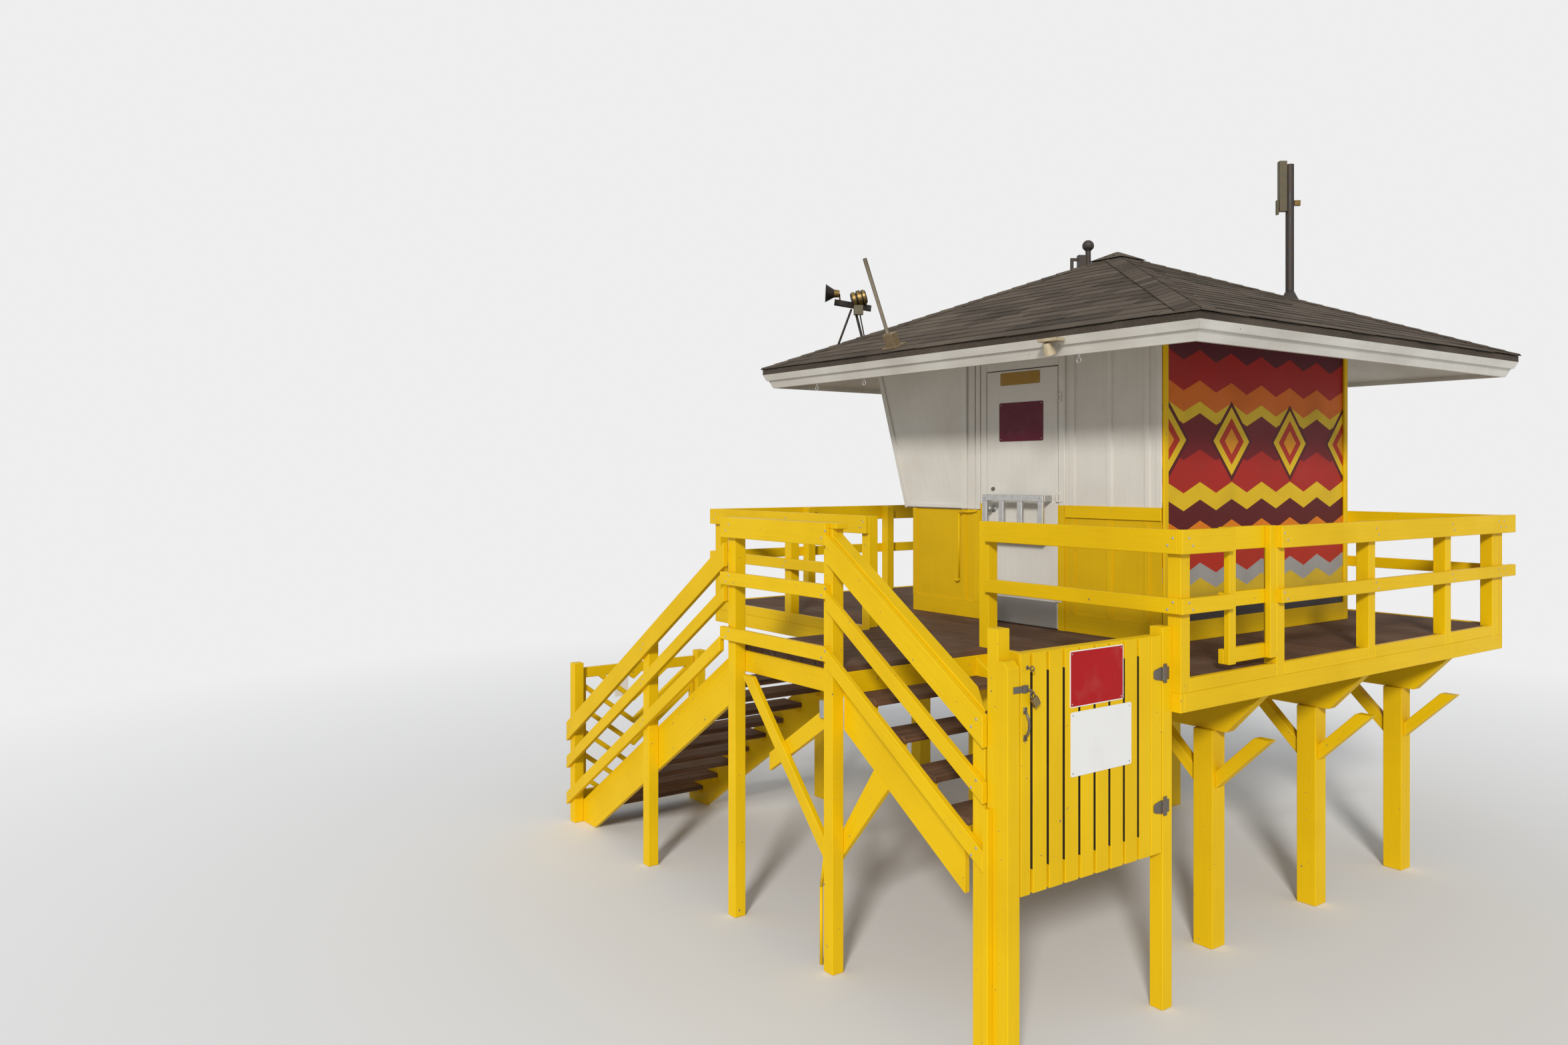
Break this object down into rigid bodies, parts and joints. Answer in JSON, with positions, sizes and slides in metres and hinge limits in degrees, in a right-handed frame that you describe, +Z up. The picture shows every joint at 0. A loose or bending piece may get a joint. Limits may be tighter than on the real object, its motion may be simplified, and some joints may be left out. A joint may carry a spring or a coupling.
{
  "type": "lifeguard tower",
  "caption": "Raised timber lifeguard hut with pyramid roof, railed deck, landing and two gated stair flights.",
  "frame": {"origin": "middle of the tower's bounding box at the ground, under the deck", "axes": "+X towards the door, landing and stairs, +Y towards the land side with the painted wall, -Y towards the ocean, +Z up"},
  "size_m": [5.881, 5.3604, 5.703],
  "materials": {
    "yellow_paint": "satin yellow paint on timber, worn",
    "yellow_wall": "satin yellow paint on wall boards",
    "deck_plank": "weathered dark brown planks",
    "tread_plank": "weathered brown planks",
    "white_boards": "matt white paint on boards",
    "white_trim": "matt white paint, weathered",
    "painted_wall": "wall painting in red, orange and yellow",
    "shingles": "dark grey brown asphalt shingles",
    "steel_fittings": "dull grey metal",
    "rack_metal": "satin bare metal",
    "mast_metal": "weathered dark metal",
    "lamp_metal": "dark metal",
    "grey_pole": "weathered pole",
    "lamp_housing": "aged beige metal"
  },
  "bodies": {
    "root": {"deck_floor": "deck_plank", "deck_rim": "yellow_paint", "deck_joists": "yellow_paint", "deck_beams": "yellow_paint", "deck_legs": "yellow_paint", "knee_braces": "yellow_paint", "railing_posts": "yellow_paint", "land_rails": "yellow_paint", "rail_leaf": "yellow_paint", "ocean_rails": "yellow_paint", "far_rails": "yellow_paint", "door_side_rails": "yellow_paint", "landing_floor": "deck_plank", "landing_frame": "yellow_paint", "landing_posts": "yellow_paint", "landing_rails": "yellow_paint", "landing_braces": "yellow_paint", "ocean_stringers": "yellow_paint", "ocean_treads": "tread_plank", "ocean_newels": "yellow_paint", "ocean_handrails": "yellow_paint", "land_stringers": "yellow_paint", "land_treads": "tread_plank", "land_newels": "yellow_paint", "land_handrails": "yellow_paint", "fixed_hinge_halves": "steel_fittings", "wall_door_left": "white_boards", "wall_door_right": "white_boards", "wall_over_door": "white_boards", "wall_land": "painted_wall", "wall_far": "white_boards", "wall_ocean": "yellow_wall", "front_wall": "white_boards", "front_shutters": "white_boards", "side_shutters": "white_boards", "wall_trim": "yellow_paint", "door_casing": "white_boards", "roof_shell": "shingles", "hip_caps": "shingles", "soffit": "white_trim", "fascia": "white_trim", "mast": "mast_metal", "weather_unit": "mast_metal", "floodlights": "lamp_metal", "leaning_pole": "grey_pole", "fascia_lamp": "lamp_housing"},
    "land_gate": {"land_gate": "yellow_paint", "land_gate_hardware": "steel_fittings"},
    "ocean_gate": {"ocean_gate": "yellow_paint", "ocean_gate_hardware": "steel_fittings"},
    "door": {"door": "white_boards", "door_hinges": "rack_metal", "door_rack": "rack_metal"}
  },
  "joints": [
    {"name": "land_gate_hinge", "type": "hinge", "parent": "root", "child": "land_gate", "pos_m": [1.6415, 2.59335, 1.533], "axis": [0, 0, 1], "range_deg": [0, 90]},
    {"name": "ocean_gate_hinge", "type": "hinge", "parent": "root", "child": "ocean_gate", "pos_m": [1.6415, -2.67125, 0.765], "axis": [0, 0, -1], "range_deg": [0, 100]},
    {"name": "door_hinge", "type": "hinge", "parent": "root", "child": "door", "pos_m": [0.4745, 0.80725, 2.907], "axis": [0, 0, 1], "range_deg": [0, 105]}
  ]
}
